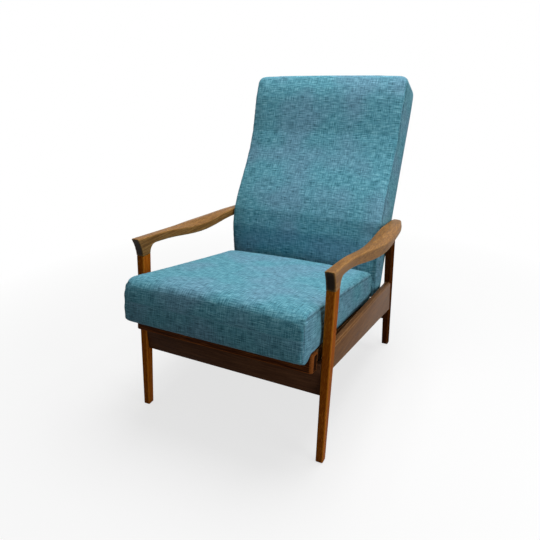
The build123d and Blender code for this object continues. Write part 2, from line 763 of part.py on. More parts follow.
# Back upholstery: full at the loins, hollow at the shoulders and full again at the head, with a
# crowned face and a rounded top; a pocket at its rear takes the frame and its webbing, and its cheeks
# hang lower beside the stiles
back_stations = []
for number in range(back_plain_steps):
    place = between(number, 0, back_plain_steps, back_hem, back_top - back_top_round)
    back_stations.append((place, 0))
for turn in reversed(round_turns):
    back_stations.append((back_top - back_top_round * (1 - cos(turn)), back_top_round * (1 - sin(turn))))
with BuildPart() as back_cushion:
    for place, loss in back_stations:
        share = (place - back_hem) / (back_top - back_hem)
        half = back_half_wide - back_draw * sin(pi * share) - loss
        station = Plane(
            origin=back_plane.from_local_coords((0, place, 0)),
            x_dir=across,
            z_dir=-back_plane.y_dir,
        )
        with BuildSketch(station):
            pad_outline(half, loss / 2 - back_rear, back_front(place) - loss / 2, back_crown,
                        back_rear_round, back_edge_round)
    loft(ruled=True)
    pocket_deep = stile_deep / 2 + webbing_thick + soft_gap
    pocket_top = stile_top + soft_gap
    pocket_low = back_hem - stile_deep
    with Locations(back_plane):
        with Locations((0, (pocket_low + pocket_top) / 2, pocket_deep - (pocket_deep + 2 * back_rear) / 2)):
            Box(2 * (stile_outer + soft_gap), pocket_top - pocket_low, pocket_deep + 2 * back_rear,
                mode=Mode.SUBTRACT)
        with Locations((0, (pocket_low + back_low) / 2, 0)):
            Box(2 * (stile_outer + soft_gap), back_low - pocket_low, 2 * lumbar_deep, mode=Mode.SUBTRACT)
        with Locations(Plane((0, 0, 0), z_dir=across)):
            Cylinder(spacer_diameter / 2 + spacer_room, 2 * back_half_wide, mode=Mode.SUBTRACT)
write(back_cushion, "back_cushion")

# Rear panel: a covered board that closes the pocket behind the stiles
with BuildPart(back_plane) as back_rear_panel:
    panel_thick = back_rear - stile_deep / 2
    with Locations((0, (back_low + stile_top) / 2, -back_rear + panel_thick / 2)):
        Box(2 * stile_outer, stile_top - back_low, panel_thick)
write(back_rear_panel, "back_rear_panel")

# Pivots: bolt and spacer stay with the rear leg, the bush turns with the stile
with BuildPart() as pivot_bolt:
    head_x = stile_inner - side_play
    with Locations(Plane(((head_x + bolt_end_x) / 2, pivot_y, pivot_height), z_dir=across)):
        Cylinder(bolt_diameter / 2, bolt_end_x - head_x)
    with Locations(Plane((head_x - bolt_head_thick / 2, pivot_y, pivot_height), z_dir=across)):
        Cylinder(bolt_head_diameter / 2, bolt_head_thick)
write_pair(pivot_bolt, "pivot_bolt")

with BuildPart() as pivot_spacer:
    spacer_x = stile_outer + side_play
    with Locations(Plane(((spacer_x + spacer_end_x) / 2, pivot_y, pivot_height), z_dir=across)):
        Cylinder(spacer_diameter / 2, spacer_end_x - spacer_x)
        Cylinder(bolt_diameter / 2 + fit_play, spacer_end_x - spacer_x, mode=Mode.SUBTRACT)
write_pair(pivot_spacer, "pivot_spacer")

with BuildPart(back_plane) as pivot_bush:
    with Locations(Plane((stile_x, 0, 0), z_dir=across)):
        Cylinder(bush_diameter / 2, stile_thick)
        Cylinder(bolt_diameter / 2 + run_play, stile_thick, mode=Mode.SUBTRACT)
write_pair(pivot_bush, "pivot_bush")

with BuildPart(back_plane) as link_pin:
    with Locations(Plane((stile_outer - (stile_thick + link_reach) / 2, -link_drop, 0), z_dir=across)):
        Cylinder(link_diameter / 2, stile_thick + link_reach)
write_pair(link_pin, "link_pin")
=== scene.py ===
import json
import math

import bmesh
import bpy
import numpy as np
from mathutils import Matrix, Vector
from mathutils.bvhtree import BVHTree


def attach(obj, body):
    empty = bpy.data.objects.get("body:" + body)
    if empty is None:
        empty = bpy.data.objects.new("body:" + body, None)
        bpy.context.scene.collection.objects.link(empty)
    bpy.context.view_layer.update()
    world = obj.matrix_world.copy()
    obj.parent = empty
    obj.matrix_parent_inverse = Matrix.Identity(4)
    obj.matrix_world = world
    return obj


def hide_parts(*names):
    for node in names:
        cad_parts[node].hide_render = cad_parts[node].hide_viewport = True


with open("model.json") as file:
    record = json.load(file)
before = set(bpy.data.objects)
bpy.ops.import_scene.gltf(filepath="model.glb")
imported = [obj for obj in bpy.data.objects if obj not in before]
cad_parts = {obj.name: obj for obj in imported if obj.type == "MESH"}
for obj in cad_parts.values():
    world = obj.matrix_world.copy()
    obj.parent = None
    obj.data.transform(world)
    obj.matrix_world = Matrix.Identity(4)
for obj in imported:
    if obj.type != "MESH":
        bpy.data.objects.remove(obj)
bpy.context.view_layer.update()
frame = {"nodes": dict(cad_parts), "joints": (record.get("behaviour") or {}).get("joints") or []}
nodes = frame["nodes"]
scene = bpy.context.scene
sides = {"left": -1, "right": 1}
across = np.array([1.0, 0.0, 0.0])
white = (1.0, 1.0, 1.0, 1.0)
weldGap = 1e-5
allSmooth = 180
print("frame loaded")


def hexColour(text):
    parts = [int(text[i:i + 2], 16) / 255 for i in (1, 3, 5)]
    return (*[p / 12.92 if p <= 0.04045 else ((p + 0.055) / 1.055) ** 2.4 for p in parts], 1.0)


def addNode(tree, kind, links=None, stops=(), **settings):
    node = tree.nodes.new(kind)
    for key, value in settings.items():
        setattr(node, key, value)
    for socket, source in (links or {}).items():
        if isinstance(source, bpy.types.NodeSocket):
            tree.links.new(source, node.inputs[socket])
        else:
            node.inputs[socket].default_value = source
    for count, (place, colour) in enumerate(stops):
        marks = node.color_ramp.elements
        mark = marks[count] if count < 2 else marks.new(place)
        mark.position = place
        mark.color = hexColour(colour)
    return node


def newMaterial(name):
    material = bpy.data.materials.new(name)
    material.use_nodes = True
    tree = material.node_tree
    return material, tree, tree.nodes["Principled BSDF"]


# Oiled teak: growth rings are contour lines of a noise drawn out along the grain, with fibres and open pores.
# End grain drinks more oil and goes dark, and edges marked by an attribute are rubbed paler; on the seat rails
# that paler edge is a painted highlight.
teakSet = {"ring": 0.045, "draw": 13, "lines": 5.0, "ringShare": 0.34, "ringDetail": 2.0,
           "fibre": 0.0016, "fibreLong": 0.07, "fibreDetail": 3.0, "fibreFrom": 0.3, "fibreTo": 0.7,
           "pore": 0.0009, "poreLong": 0.011, "poreDetail": 1.0, "poreFrom": 0.60, "poreTo": 0.72,
           "poreShare": 0.55, "noiseRough": 0.55, "darkAt": 0.30, "midAt": 0.50, "lightAt": 0.72,
           "endFrom": 0.52, "endTo": 0.94, "endShare": 0.94, "wearAndHighlight": 1.1, "roughLow": 0.39, "roughHigh": 0.54,
           "bump": 0.25, "bumpDeep": 0.0003}


def oiledTeak(name, grain, dark, mid, light, endGrain, gloss):
    material, tree, shader = newMaterial(name)
    place = addNode(tree, "ShaderNodeTexCoord")

    def drawnNoise(thick, long, detail):
        scale = [1 / thick] * 3
        scale[grain] = 1 / long
        drawn = addNode(tree, "ShaderNodeMapping", {"Vector": place.outputs["Object"], "Scale": scale})
        noise = {"Vector": drawn.outputs[0], "Scale": 1.0, "Detail": detail, "Roughness": teakSet["noiseRough"]}
        return addNode(tree, "ShaderNodeTexNoise", noise).outputs[0]

    slow = drawnNoise(teakSet["ring"], teakSet["ring"] * teakSet["draw"], teakSet["ringDetail"])
    fibre = drawnNoise(teakSet["fibre"], teakSet["fibreLong"], teakSet["fibreDetail"])
    pore = drawnNoise(teakSet["pore"], teakSet["poreLong"], teakSet["poreDetail"])
    ringTurns = teakSet["lines"] * 2 * math.pi
    turns = addNode(tree, "ShaderNodeMath", {0: slow, 1: ringTurns}, operation="MULTIPLY")
    wave = addNode(tree, "ShaderNodeMath", {0: turns.outputs[0]}, operation="SINE")
    ring = addNode(tree, "ShaderNodeMapRange", {
        0: wave.outputs[0], 1: -1.0, 2: 1.0, 3: 0.0, 4: teakSet["ringShare"]})
    openPore = addNode(tree, "ShaderNodeMapRange", {
        0: pore, 1: teakSet["poreFrom"], 2: teakSet["poreTo"], 3: 0.0, 4: teakSet["poreShare"]})
    shades = [(teakSet["darkAt"], dark), (teakSet["midAt"], mid), (teakSet["lightAt"], light)]
    body = addNode(tree, "ShaderNodeValToRGB", {0: fibre}, shades)
    ringed = addNode(tree, "ShaderNodeMix", {
        0: ring.outputs[0], 6: body.outputs[0], 7: hexColour(dark)}, data_type="RGBA")
    pored = addNode(tree, "ShaderNodeMix", {
        0: openPore.outputs[0], 6: ringed.outputs[2], 7: hexColour(endGrain)}, data_type="RGBA")
    axis = [float(part == grain) for part in range(3)]
    facing = addNode(tree, "ShaderNodeVectorMath", {
        0: place.outputs["Normal"], 1: axis}, operation="DOT_PRODUCT")
    straight = addNode(tree, "ShaderNodeMath", {0: facing.outputs["Value"]}, operation="ABSOLUTE")
    cutAcross = addNode(tree, "ShaderNodeMapRange", {
        0: straight.outputs[0], 1: teakSet["endFrom"], 2: teakSet["endTo"], 3: 0.0, 4: teakSet["endShare"]})
    ended = addNode(tree, "ShaderNodeMix", {
        0: cutAcross.outputs[0], 6: pored.outputs[2], 7: hexColour(endGrain)}, data_type="RGBA")
    # The marked edges go paler: wear, and on the seat rails a painted highlight.
    wornAndHighlit = addNode(tree, "ShaderNodeAttribute", attribute_name="wornAndHighlit")
    wornAndHighlitGrain = addNode(tree, "ShaderNodeMath", {0: wornAndHighlit.outputs["Fac"], 1: fibre}, operation="MULTIPLY")
    wornAndHighlitShare = addNode(tree, "ShaderNodeMath", {0: wornAndHighlitGrain.outputs[0], 1: teakSet["wearAndHighlight"]}, operation="MULTIPLY")
    colour = addNode(tree, "ShaderNodeMix", {
        0: wornAndHighlitShare.outputs[0], 6: ended.outputs[2], 7: hexColour(light)}, data_type="RGBA")
    rough = addNode(tree, "ShaderNodeMapRange", {
        0: fibre, 1: teakSet["fibreFrom"], 2: teakSet["fibreTo"], 3: teakSet["roughLow"], 4: teakSet["roughHigh"]})
    bump = addNode(tree, "ShaderNodeBump", {
        "Height": fibre, "Strength": teakSet["bump"], "Distance": teakSet["bumpDeep"]})
    shader.inputs["Specular IOR Level"].default_value = gloss
    tree.links.new(colour.outputs[2], shader.inputs["Base Color"])
    tree.links.new(rough.outputs[0], shader.inputs["Roughness"])
    tree.links.new(bump.outputs[0], shader.inputs["Normal"])
    return material


# Upholstery cloth: a plain weave of slubby teal yarns, thin dark ones among paler ones, more of them across.
# Threads are drawn at 2.6 mm, about twice as coarse as they are, so that the weave shows in the picture.
clothSet = {"thread": 0.0026, "slubThin": 0.0026, "slubLong": 0.032, "slubDetail": 2.0, "slubRough": 0.6,
            "weft": 0.62, "warp": 0.44, "weave": 0.026, "drift": 0.16, "driftDetail": 1.0, "driftFrom": 0.40,
            "driftTo": 0.66, "driftShare": 0.45, "seamShadeShare": 0.45, "weaveHigh": 0.35, "bump": 0.5,
            "bumpDeep": 0.0009, "rough": 0.88, "gloss": 0.15, "sheen": 0.06, "sheenRough": 0.5}


def slubWeave(name, stops, haze, seamPaintedShade):
    material, tree, shader = newMaterial(name)
    flat = addNode(tree, "ShaderNodeUVMap", uv_map="Cloth").outputs[0]
    thin, long = clothSet["slubThin"], clothSet["slubLong"]
    streaks = []
    for wide, tall in ((long, thin), (thin, long)):
        drawn = addNode(tree, "ShaderNodeMapping", {"Vector": flat, "Scale": (1 / wide, 1 / tall, 1.0)})
        noise = {"Vector": drawn.outputs[0], "Scale": 1.0, "Detail": clothSet["slubDetail"],
                 "Roughness": clothSet["slubRough"]}
        streaks.append(addNode(tree, "ShaderNodeTexNoise", noise, noise_dimensions="2D").outputs[0])
    parts = addNode(tree, "ShaderNodeSeparateXYZ", {0: flat})
    waves = []
    for part in (0, 1):
        turn = {0: parts.outputs[part], 1: math.pi / clothSet["thread"]}
        turned = addNode(tree, "ShaderNodeMath", turn, operation="MULTIPLY")
        waves.append(addNode(tree, "ShaderNodeMath", {0: turned.outputs[0]}, operation="SINE").outputs[0])
    over = addNode(tree, "ShaderNodeMath", {0: waves[0], 1: waves[1]}, operation="MULTIPLY")
    middle = 0.5 - 0.5 * (clothSet["weft"] + clothSet["warp"])
    weft = addNode(tree, "ShaderNodeMath", {
        0: streaks[0], 1: clothSet["weft"], 2: middle}, operation="MULTIPLY_ADD")
    both = addNode(tree, "ShaderNodeMath", {
        0: streaks[1], 1: clothSet["warp"], 2: weft.outputs[0]}, operation="MULTIPLY_ADD")
    value = addNode(tree, "ShaderNodeMath", {
        0: over.outputs[0], 1: clothSet["weave"], 2: both.outputs[0]}, operation="MULTIPLY_ADD")
    yarn = addNode(tree, "ShaderNodeValToRGB", {0: value.outputs[0]}, stops)
    drift = addNode(tree, "ShaderNodeTexNoise", {
        "Vector": flat, "Scale": 1 / clothSet["drift"], "Detail": clothSet["driftDetail"]}, noise_dimensions="2D")
    hazed = addNode(tree, "ShaderNodeMapRange", {
        0: drift.outputs[0], 1: clothSet["driftFrom"], 2: clothSet["driftTo"], 3: 0.0, 4: clothSet["driftShare"]})
    tinted = addNode(tree, "ShaderNodeMix", {
        0: hazed.outputs[0], 6: yarn.outputs[0], 7: hexColour(haze)}, data_type="RGBA", blend_type="COLOR")
    # Painted shade: the cloth is darkened along the seam groove.
    seamGrooveShade = addNode(tree, "ShaderNodeAttribute", attribute_name="seamGrooveShade")
    deep = addNode(tree, "ShaderNodeMath", {
        0: seamGrooveShade.outputs["Fac"], 1: clothSet["seamShadeShare"]}, operation="MULTIPLY")
    grooveShaded = addNode(tree, "ShaderNodeMix", {
        0: deep.outputs[0], 6: tinted.outputs[2], 7: hexColour(seamPaintedShade)}, data_type="RGBA")
    height = addNode(tree, "ShaderNodeMath", {
        0: over.outputs[0], 1: clothSet["weaveHigh"], 2: value.outputs[0]}, operation="MULTIPLY_ADD")
    bump = addNode(tree, "ShaderNodeBump", {
        "Height": height.outputs[0], "Strength": clothSet["bump"], "Distance": clothSet["bumpDeep"]})
    tree.links.new(grooveShaded.outputs[2], shader.inputs["Base Color"])
    tree.links.new(bump.outputs[0], shader.inputs["Normal"])
    shader.inputs["Roughness"].default_value = clothSet["rough"]
    shader.inputs["Specular IOR Level"].default_value = clothSet["gloss"]
    shader.inputs["Sheen Weight"].default_value = clothSet["sheen"]
    shader.inputs["Sheen Roughness"].default_value = clothSet["sheenRough"]
    return material


# Nylon, steel, rubber and thread: small parts, with a fine noise of about 4 mm in their gloss.
plainSet = {"grainsPerMetre": 260.0, "detail": 3.0, "noiseFrom": 0.3, "noiseTo": 0.7, "spread": 0.07,
            "bump": 0.1, "bumpDeep": 0.0002}


def plainMaterial(name, colour, rough, metal=0.0):
    material, tree, shader = newMaterial(name)
    place = addNode(tree, "ShaderNodeTexCoord")
    noise = addNode(tree, "ShaderNodeTexNoise", {
        "Vector": place.outputs["Object"], "Scale": plainSet["grainsPerMetre"], "Detail": plainSet["detail"]})
    low, high = rough - plainSet["spread"], rough + plainSet["spread"]
    varied = addNode(tree, "ShaderNodeMapRange", {
        0: noise.outputs[0], 1: plainSet["noiseFrom"], 2: plainSet["noiseTo"], 3: low, 4: high})
    bump = addNode(tree, "ShaderNodeBump", {
        "Height": noise.outputs[0], "Strength": plainSet["bump"], "Distance": plainSet["bumpDeep"]})
    tree.links.new(varied.outputs[0], shader.inputs["Roughness"])
    tree.links.new(bump.outputs[0], shader.inputs["Normal"])
    shader.inputs["Base Color"].default_value = hexColour(colour)
    shader.inputs["Metallic"].default_value = metal
    return material


# The grain of a timber runs along axis 0, 1 or 2. Beech shares the teak's make-up, and is pale.
teakArm = oiledTeak("oiledTeakArm", 1, "#5f3d18", "#8d6231", "#b0844e", "#050302", 0.10)
teakLeg = oiledTeak("oiledTeakLeg", 2, "#7a3907", "#a35511", "#bf7626", "#241205", 0.01)
# Rear legs: a darker copy of the teak, its darkness painted shade for their shadowed faces.
teakRearLegShaded = oiledTeak("oiledTeakRearLegShaded", 2, "#351405", "#4f2609", "#6e3f19", "#180a03", 0.0)
teakBoard = oiledTeak("oiledTeakBoard", 1, "#56351c", "#744e2d", "#916a43", "#24140a", 0.06)
# Front apron and rear rail: a darker copy of the teak, its darkness painted shade for the cushion's shadow.
teakApronShaded = oiledTeak("oiledTeakApronShaded", 0, "#43281a", "#5a3a27", "#745036", "#24140a", 0.02)
# Seat rails: a near-black copy of the teak as painted shade under the cushion, with a bright orange pale tone that
# paints a highlight along their edge.
teakRailShadedHighlit = oiledTeak("oiledTeakRailShadedHighlit", 0, "#2e1206", "#49210c", "#a8602a", "#1d0c04", 0.02)
beech = oiledTeak("beech", 2, "#b08a5c", "#c8a374", "#d9b98e", "#a17c50", 0.3)
beechAcross = oiledTeak("beechAcross", 0, "#b08a5c", "#c8a374", "#d9b98e", "#a17c50", 0.3)
nylon = plainMaterial("blackNylon", "#1b1b1c", 0.45)
steel = plainMaterial("zincPlatedSteel", "#a8abae", 0.32, 1.0)
rubber = plainMaterial("rubberWebbing", "#3a2f26", 0.7)
thread = plainMaterial("tealThread", "#4d8394", 0.8)
yarnShades = [(0.30, "#275d6b"), (0.44, "#4a8899"), (0.55, "#62a3b5"), (0.72, "#8cc8d5")]
# The last colour is the painted shade of the seam grooves.
tealCloth = slubWeave("tealSlubWeave", yarnShades, "#6f8fa8", "#17323a")
print("materials made")


def meshObject(name, points, faces, edges=()):
    mesh = bpy.data.meshes.new(name)
    mesh.from_pydata([tuple(p) for p in points], list(edges), faces)
    mesh.update()
    made = bpy.data.objects.new(name, mesh)
    scene.collection.objects.link(made)
    return made


def readVertices(made, field):
    flat = np.empty(len(made.data.vertices) * 3, np.float32)
    made.data.vertices.foreach_get(field, flat)
    return flat.reshape(-1, 3).astype(float)


def setPoints(made, points):
    made.data.vertices.foreach_set("co", points.astype(np.float32).ravel())
    made.data.update()


def cadPoints(name):
    turn = np.array(nodes[name].matrix_world)
    return readVertices(nodes[name], "co") @ turn[:3, :3].T + turn[:3, 3]


def neighbourMean(made, values):
    flat = np.empty(len(made.data.edges) * 2, np.int32)
    made.data.edges.foreach_get("vertices", flat)
    first, second = flat.reshape(-1, 2).T
    size = len(values)
    count = np.bincount(flat, minlength=size)
    total = np.bincount(first, values[second], size) + np.bincount(second, values[first], size)
    return total / np.maximum(count, 1)


def setFloat(made, name, values, domain="POINT"):
    field = made.data.attributes.new(name, "FLOAT", domain)
    field.data.foreach_set("value", np.asarray(values, np.float32))


def bakeModifiers(made):
    evaluated = made.evaluated_get(bpy.context.evaluated_depsgraph_get())
    fresh = bpy.data.meshes.new_from_object(evaluated)
    made.modifiers.clear()
    old = made.data
    made.data = fresh
    bpy.data.meshes.remove(old)
    fresh.name = made.name


def smoothByAngle(made, degrees):
    made.data.polygons.foreach_set("use_smooth", [True] * len(made.data.polygons))
    made.data.set_sharp_from_angle(angle=math.radians(degrees))


def settle(made, body, material, stands):
    made.data.materials.clear()
    made.data.materials.append(material)
    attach(made, body)
    if stands:
        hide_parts(*stands)


# Straight timbers: the closed shape around each CAD timber, with broken edges that are rubbed paler.
# On the seat rails that paler edge is a painted highlight.
timberSet = {"broken": 0.0016, "railBroken": 0.0034, "steps": 2, "edgeAngle": 28, "flatAngle": 0.6,
             "sharpAngle": 35}
timbers = {
    "front_leg_left": ("frame", teakLeg), "front_leg_right": ("frame", teakLeg),
    "rear_leg_left": ("frame", teakRearLegShaded), "rear_leg_right": ("frame", teakRearLegShaded),
    "side_board_left": ("frame", teakBoard), "side_board_right": ("frame", teakBoard),
    "front_apron": ("frame", teakApronShaded), "rear_rail": ("frame", teakApronShaded),
    "seat_front_rail": ("seat", teakRailShadedHighlit), "seat_rear_rail": ("seat", teakRailShadedHighlit),
    "seat_side_rail_left": ("seat", teakBoard), "seat_side_rail_right": ("seat", teakBoard),
}
for timberName, (timberBody, timberMaterial) in timbers.items():
    shell = bmesh.new()
    for point in cadPoints(timberName):
        shell.verts.new(point)
    bmesh.ops.remove_doubles(shell, verts=shell.verts, dist=weldGap)
    hull = bmesh.ops.convex_hull(shell, input=shell.verts)
    spare = {item for key in ("geom_interior", "geom_unused") for item in hull[key]}
    bmesh.ops.delete(shell, geom=[v for v in spare if isinstance(v, bmesh.types.BMVert)], context="VERTS")
    flatAngle = math.radians(timberSet["flatAngle"])
    bmesh.ops.dissolve_limit(shell, angle_limit=flatAngle, verts=shell.verts, edges=shell.edges)
    timber = meshObject(timberName + "_timber", [], [])
    shell.to_mesh(timber.data)
    shell.free()
    # The seat front rail's broken edge is wider, so that its painted highlight shows as a line.
    broken = timberSet["railBroken" if timberName == "seat_front_rail" else "broken"]
    bevel = timber.modifiers.new("broken", "BEVEL")
    bevel.width = broken
    bevel.segments = timberSet["steps"]
    bevel.limit_method = "ANGLE"
    bevel.angle_limit = math.radians(timberSet["edgeAngle"])
    bakeModifiers(timber)
    # Faces narrower than the broken edge are marked as rubbed edges; on the seat rails they carry a painted
    # highlight.
    shortest = []
    for face in timber.data.polygons:
        loop = [timber.data.vertices[i].co for i in face.vertices]
        shortest.append(min((a - b).length for a, b in zip(loop, loop[1:] + loop[:1])))
    setFloat(timber, "wornAndHighlit", np.array(shortest) < broken, "FACE")
    smoothByAngle(timber, timberSet["sharpAngle"])
    settle(timber, timberBody, timberMaterial, [timberName])
print("straight timbers dressed")


def evenSkin(name, nodeName, settings):
    skin = meshObject(name, cadPoints(nodeName), [tuple(p.vertices) for p in nodes[nodeName].data.polygons])
    weld = bmesh.new()
    weld.from_mesh(skin.data)
    bmesh.ops.remove_doubles(weld, verts=weld.verts, dist=weldGap)
    weld.to_mesh(skin.data)
    weld.free()
    grid = skin.modifiers.new("grid", "REMESH")
    grid.mode = "VOXEL"
    grid.voxel_size = settings["voxel"]
    soft = skin.modifiers.new("soft", "SMOOTH")
    soft.factor = settings["soft"]
    soft.iterations = settings["rounds"]
    bakeModifiers(skin)
    return skin


# Arms: the CAD arm on an even grid and smoothed, so that its wing runs out without facets. Its edges, where the
# surface stands out from its neighbours, are rubbed paler.
armSet = {"voxel": 0.0022, "soft": 0.5, "rounds": 6, "wornFrom": 0.02, "wornTo": 0.10, "wornEven": 4,
          "sharpAngle": 60}
for side in sides:
    arm = evenSkin("arm_" + side + "_timber", "arm_" + side, armSet)
    points, normals = readVertices(arm, "co"), readVertices(arm, "normal")
    around = np.stack([neighbourMean(arm, points[:, part]) for part in range(3)], axis=1)
    swell = ((points - around) * normals).sum(axis=1) / armSet["voxel"]
    for turn in range(armSet["wornEven"]):
        swell = neighbourMean(arm, swell)
    wornShare = (swell - armSet["wornFrom"]) / (armSet["wornTo"] - armSet["wornFrom"])
    setFloat(arm, "wornAndHighlit", np.clip(wornShare, 0, 1))
    smoothByAngle(arm, armSet["sharpAngle"])
    settle(arm, "frame", teakArm, ["arm_" + side])
print("arms shaped")

# Cushions: the CAD pad as an even skin, filled by a short cloth run. Only its outward swelling is kept, taken along
# the skin's own normals and evened out, so that the foam stays firm and its corners stay crisp.
fillSet = {"quality": 3, "mass": 0.4, "tension": 22.0, "bending": 0.6, "pressure": 4.0, "frames": 20,
           "even": 10, "finer": 1, "told": (1, 50, 99)}


def fillCushion(skin, held, cap):
    before, normals = readVertices(skin, "co"), readVertices(skin, "normal")
    group = skin.vertex_groups.new(name="held")
    group.add(np.where(held)[0].tolist(), 1.0, "REPLACE")
    cloth = skin.modifiers.new("fill", "CLOTH")
    cloth.settings.quality = fillSet["quality"]
    cloth.settings.mass = fillSet["mass"]
    cloth.settings.tension_stiffness = fillSet["tension"]
    cloth.settings.compression_stiffness = fillSet["tension"]
    cloth.settings.bending_stiffness = fillSet["bending"]
    cloth.settings.use_pressure = True
    cloth.settings.uniform_pressure_force = fillSet["pressure"]
    cloth.settings.effector_weights.gravity = 0.0
    cloth.settings.vertex_group_mass = "held"
    cloth.collision_settings.use_collision = False
    cloth.collision_settings.use_self_collision = False
    cloth.point_cache.frame_start = 1
    cloth.point_cache.frame_end = fillSet["frames"]
    for step in range(1, fillSet["frames"] + 1):
        scene.frame_set(step)
    bakeModifiers(skin)
    scene.frame_set(1)
    skin.vertex_groups.clear()
    rise = ((readVertices(skin, "co") - before) * normals).sum(axis=1)
    told = [round(float(v) * 1000, 1) for v in np.percentile(rise, fillSet["told"])]
    print(skin.name, "swells by", *told, "mm")
    rise = np.clip(rise, 0.0, cap)
    for turn in range(fillSet["even"]):
        rise = neighbourMean(skin, rise)
    setPoints(skin, before + normals * rise[:, None])
    finer = skin.modifiers.new("finer", "SUBSURF")
    finer.levels = fillSet["finer"]
    finer.render_levels = fillSet["finer"]
    bakeModifiers(skin)


# The cloth lies across the pad and round its profile, and flat on the side panels, which are cut from another part
# of the cloth. The profile is read near the middle, one mean point for each step of angle.
laySet = {"rimSteps": 360, "panelApart": 3.0}


def rimOf(local, near):
    low, high = local.min(axis=0)[1:], local.max(axis=0)[1:]
    middle = local[np.abs(local[:, 0]) < near][:, 1:]
    unit = (middle - (low + high) / 2) / (high - low)
    turns = np.arctan2(unit[:, 1], unit[:, 0]) / (2 * math.pi)
    steps = np.floor(turns * laySet["rimSteps"])
    rim = [middle[steps == step].mean(axis=0) for step in np.unique(steps)]
    return np.array(rim + rim[:1])


def profileLength(flat, rim):
    best = np.full(len(flat), np.inf)
    along = np.zeros(len(flat))
    gone = 0.0
    for start, end in zip(rim[:-1], rim[1:]):
        step = end - start
        size = float(np.hypot(*step))
        share = np.clip(((flat - start) @ step) / (size * size), 0, 1)
        away = np.hypot(*(flat - start - share[:, None] * step).T)
        closer = away < best
        best[closer] = away[closer]
        along[closer] = gone + share[closer] * size
        gone += size
    return along


def layCloth(skin, axes, settings):
    local = readVertices(skin, "co") @ axes.T
    length = profileLength(local[:, 1:], rimOf(local, settings["voxel"]))
    corners = np.empty(len(skin.data.loops), np.int32)
    skin.data.loops.foreach_get("vertex_index", corners)
    sizes = np.empty(len(skin.data.polygons), np.int32)
    skin.data.polygons.foreach_get("loop_total", sizes)
    faceNormal = np.empty(len(sizes) * 3, np.float32)
    skin.data.polygons.foreach_get("normal", faceNormal)
    sideways = np.repeat(faceNormal[::3], sizes)
    panel = np.abs(sideways) > settings["panelShare"]
    laid = np.stack([local[corners, 0], length[corners]], axis=1)
    laid[panel] = local[corners[panel], 1:] + [0.0, laySet["panelApart"]]
    laid[panel, 0] *= np.sign(sideways[panel])
    skin.data.uv_layers.new(name="Cloth").data.foreach_set("uv", laid.astype(np.float32).ravel())


# The seam of a side panel runs below the pad's shoulder, and turns down behind the front where the pad has a front.
# The cloth puckers a little beside it, at a pitch that sways.
sewSet = {"puckerReach": 4, "sway": 1.7, "swayTurns": 61}


def shoulderLine(local, settings):
    low, high = local.min(axis=0), local.max(axis=0)
    places = np.linspace(low[1], high[1], settings["seamSteps"])
    outer = local[np.abs(local[:, 0]) > high[0] - settings["sideDeep"]]
    reach = places[1] - places[0]
    return places, np.array([outer[np.abs(outer[:, 1] - place) < reach][:, 2].max() for place in places])


def sewSides(skin, axes, settings):
    points, normals = readVertices(skin, "co"), readVertices(skin, "normal")
    local = points @ axes.T
    low, high = local.min(axis=0), local.max(axis=0)
    deep, wide = settings["sideDeep"], settings["seamWide"]
    sideways = np.clip((np.abs(local[:, 0]) - high[0] + deep) / (deep / 2), 0, 1)
    drop = np.interp(local[:, 1], *shoulderLine(local, settings)) - settings["seamDrop"] - local[:, 2]
    ahead = local[:, 1] - low[1] - settings["frontSeam"]
    outside = -np.hypot(np.minimum(drop, 0), np.minimum(ahead, 0))
    away = np.where((drop > 0) & (ahead > 0), np.minimum(drop, ahead), outside)
    line = np.exp(-(away / wide) ** 2) * sideways
    sway = sewSet["sway"] * np.sin(local[:, 1] * sewSet["swayTurns"])
    pull = np.sin(local[:, 1] * 2 * math.pi / settings["puckerLong"] + sway)
    pucker = pull * np.exp(-(away / (sewSet["puckerReach"] * wide)) ** 2) * sideways
    shift = line * settings["seamDeep"] - pucker * settings["puckerDeep"]
    setPoints(skin, points - normals * shift[:, None])
    # The seam line is kept to darken the cloth in its groove, as painted shade.
    setFloat(skin, "seamGrooveShade", line)


def finishPad(skin, body, node):
    smoothByAngle(skin, allSmooth)
    settle(skin, body, tealCloth, [node])
    print(skin.name, "finished")


# Seat cushion: its axes run across, rearward along the seat's slide, and up. It is held where it lies on the frame.
slide = next(joint for joint in frame["joints"] if joint["name"] == "seat_slide")
rearward = -np.array(slide["axis"], float) / np.linalg.norm(slide["axis"])
seatAxes = np.stack([across, rearward, np.cross(across, rearward)])
seatSet = {"voxel": 0.0060, "soft": 0.3, "rounds": 2, "held": -0.75, "cap": 0.005, "fill": 0.8,
           "panelShare": 0.72, "seamSteps": 26, "sideDeep": 0.030, "seamDrop": 0.015, "frontSeam": 0.010,
           "seamWide": 0.0032, "seamDeep": 0.0022, "puckerLong": 0.021, "puckerDeep": 0.0003}
seat = evenSkin("seatCushion", "seat_cushion", seatSet)
fillCushion(seat, readVertices(seat, "normal") @ seatAxes[2] < seatSet["held"], seatSet["cap"])
layCloth(seat, seatAxes, seatSet)
sewSides(seat, seatAxes, seatSet)
finishPad(seat, "seat", "seat_cushion")

